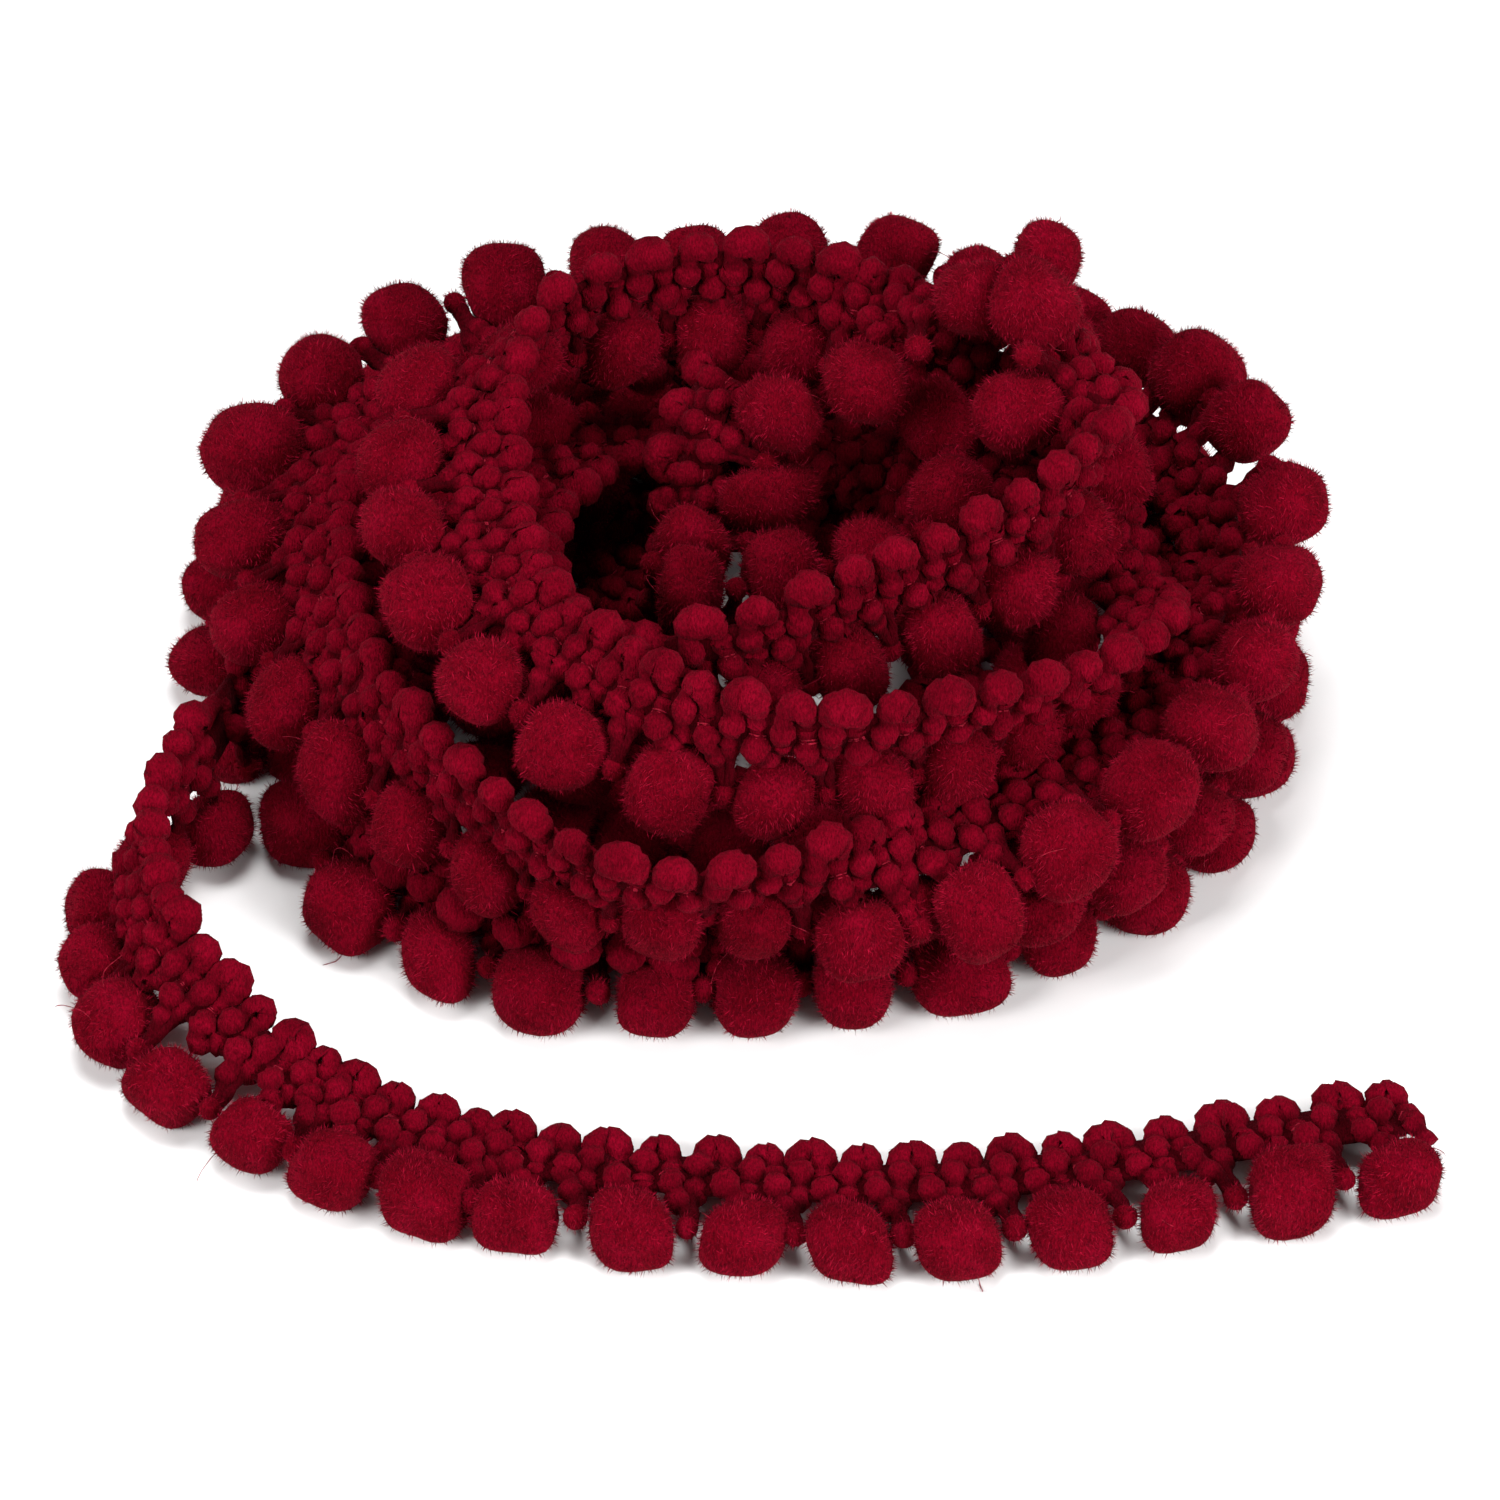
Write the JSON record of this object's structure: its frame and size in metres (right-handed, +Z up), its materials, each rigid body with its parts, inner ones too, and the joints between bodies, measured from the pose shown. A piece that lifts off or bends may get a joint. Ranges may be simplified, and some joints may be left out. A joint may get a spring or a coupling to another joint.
{
  "type": "pompom fringe trim",
  "caption": "Length of wine-red pompom fringe trim with a scalloped crochet heading, wound by hand into a loose open coil, one end lying free along the front.",
  "frame": {"origin": "centre of the footprint of the coil and its loose end, on the surface they lie on", "axes": "+Z up; the loose end lies along the front at -Y and runs toward +X; +Y is the longest extent, from the loose end to the back of the coil"},
  "size_m": [0.1494, 0.1561, 0.0555],
  "materials": {
    "coil": "matt yarn and cut pile",
    "heading": "matt crocheted yarn",
    "pompom": "soft cut pile"
  },
  "bodies": {
    "root": {"wound_coil": "coil", "loose_end_heading": "heading", "pompom_01": "pompom", "pompom_02": "pompom", "pompom_03": "pompom", "pompom_04": "pompom", "pompom_05": "pompom", "pompom_06": "pompom", "pompom_07": "pompom", "pompom_08": "pompom", "pompom_09": "pompom", "pompom_10": "pompom", "pompom_11": "pompom", "pompom_12": "pompom", "pompom_13": "pompom", "pompom_14": "pompom", "pompom_15": "pompom", "pompom_16": "pompom", "pompom_17": "pompom", "pompom_18": "pompom"}
  },
  "joints": []
}
